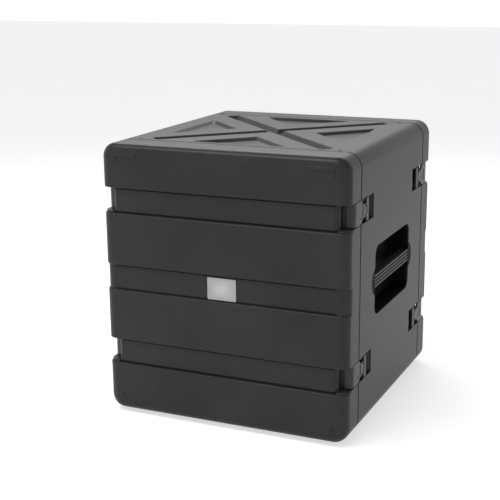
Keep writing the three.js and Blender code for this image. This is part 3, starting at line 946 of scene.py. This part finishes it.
def fit_handles():
    models = {"dish": (handle_dish(), "dish_plastic", 0.8), "grip": (grip(), "grip_rubber", 0.7)}
    for side, sign in SIDES.items():
        for part, (model, slot, width) in models.items():
            piece = copied(model, f"{side}_{part}_moulding", (sign, 1, 1))
            body = "case" if part == "dish" else f"{side}_grip"
            fitted(eased(piece, width, 3), body, slot, f"{side}_handle_{part}")
    for model, _, _ in models.values():
        bpy.data.objects.remove(model)


def fit_small_pieces():
    """The rack rails and feet keep their frame shape, with their edges broken."""
    for subpart in frame["record"]["subparts"]:
        node = subpart["node"]
        if "rack_rail" in node:
            fitted(eased(traced(node), 0.4, 2), "case", "rail_steel", node)
        elif node.endswith("_foot"):
            fitted(eased(traced(node), 0.8, 3), "case", "foot_rubber", node)


def finish_frame_nodes():
    """Frame nodes that are shown as they are get their finish."""
    for subpart in frame["record"]["subparts"]:
        for slot in frame["nodes"][subpart["node"]].material_slots:
            slot.material = FINISHES[subpart["material_slot"]]


finish_frame_nodes()
fitted(levelled(eased(sleeve(), 1.0, 3), TOP), "case", "case_plastic", "case_shell")
fit_lids()
fit_latches()
fit_handles()
fit_small_pieces()


# ---- studio --------------------------------------------------------------------------------------------

AZIMUTH = math.radians(24.303)
ELEVATION = math.radians(14.427)
ROLL = math.radians(-0.558)
DISTANCE = 2.5706
AIM = {"right": -0.05905, "up": 0.02463, "height": 0.30185}


def camera():
    """Stands in front, to the right and a little above, with an 80 mm lens."""
    back = Vector(
        (
            math.sin(AZIMUTH) * math.cos(ELEVATION),
            -math.cos(AZIMUTH) * math.cos(ELEVATION),
            math.sin(ELEVATION),
        )
    )
    right = back.cross(Vector((0, 0, -1))).normalized()
    up = back.cross(right)
    target = Vector((0, 0, AIM["height"])) + right * AIM["right"] + up * AIM["up"]
    level = Matrix((right, up, back)).transposed()
    turned = level @ Matrix.Rotation(ROLL, 3, "Z")
    lens = bpy.data.cameras.new("camera")
    lens.lens = 80
    lens.sensor_width = 36
    viewer = bpy.data.objects.new("camera", lens)
    viewer.matrix_world = Matrix.Translation(target + back * DISTANCE) @ turned.to_4x4()
    bpy.context.collection.objects.link(viewer)
    bpy.context.scene.camera = viewer


def lamp(name, place, aim, size, power, tint=(1, 1, 1)):
    light = bpy.data.lights.new(name, "AREA")
    light.shape = "RECTANGLE"
    light.size, light.size_y = size
    light.energy = power
    light.color = tint
    fixture = bpy.data.objects.new(name, light)
    fixture.location = place
    fixture.rotation_euler = (Vector(place) - Vector(aim)).to_track_quat("Z", "Y").to_euler()
    bpy.context.collection.objects.link(fixture)


def fade_sky(tree):
    """White along the horizon, darker overhead and towards the right."""
    background = tree.nodes["Background"]
    background.inputs["Color"].default_value = (1, 1, 1, 1)
    direction = tree.nodes.new("ShaderNodeTexCoord")
    split = tree.nodes.new("ShaderNodeSeparateXYZ")
    strength = tree.nodes.new("ShaderNodeMath")
    strength.operation = "MULTIPLY"
    tree.links.new(direction.outputs["Generated"], split.inputs["Vector"])
    fades = {"Z": (0.05, 0.8, 1.06, 0.35), "X": (0.1, 0.9, 1.0, 0.7)}
    for factor, (axis, ends) in enumerate(fades.items()):
        fade = tree.nodes.new("ShaderNodeMapRange")
        fade.interpolation_type = "SMOOTHSTEP"
        for socket, value in zip(("From Min", "From Max", "To Min", "To Max"), ends):
            fade.inputs[socket].default_value = value
        tree.links.new(split.outputs[axis], fade.inputs["Value"])
        tree.links.new(fade.outputs["Result"], strength.inputs[factor])
    tree.links.new(strength.outputs["Value"], background.inputs["Strength"])


def studio():
    clear_selection()
    bpy.ops.mesh.primitive_plane_add(size=30)
    floor = named("floor")
    floor.data.materials.append(studio_floor("studio_floor"))
    world = bpy.data.worlds.new("studio")
    world.use_nodes = True
    fade_sky(world.node_tree)
    bpy.context.scene.world = world
    bpy.context.scene.view_settings.view_transform = "Standard"
    lamp("behind and above", (-0.8, 1.9, 2.3), (-0.1, 0, 0.5), (2.2, 1.0), 34, (0.98, 0.97, 1.0))
    lamp("right", (2.6, 0.6, 0.9), (0, 0, 0.2), (1.2, 1.4), 3, (0.7, 0.88, 1.0))
    lamp("front left", (-0.5, -1.3, 2.4), (0, -0.25, 0.5), (1.8, 0.3), 40, (1.0, 0.98, 0.94))


camera()
studio()
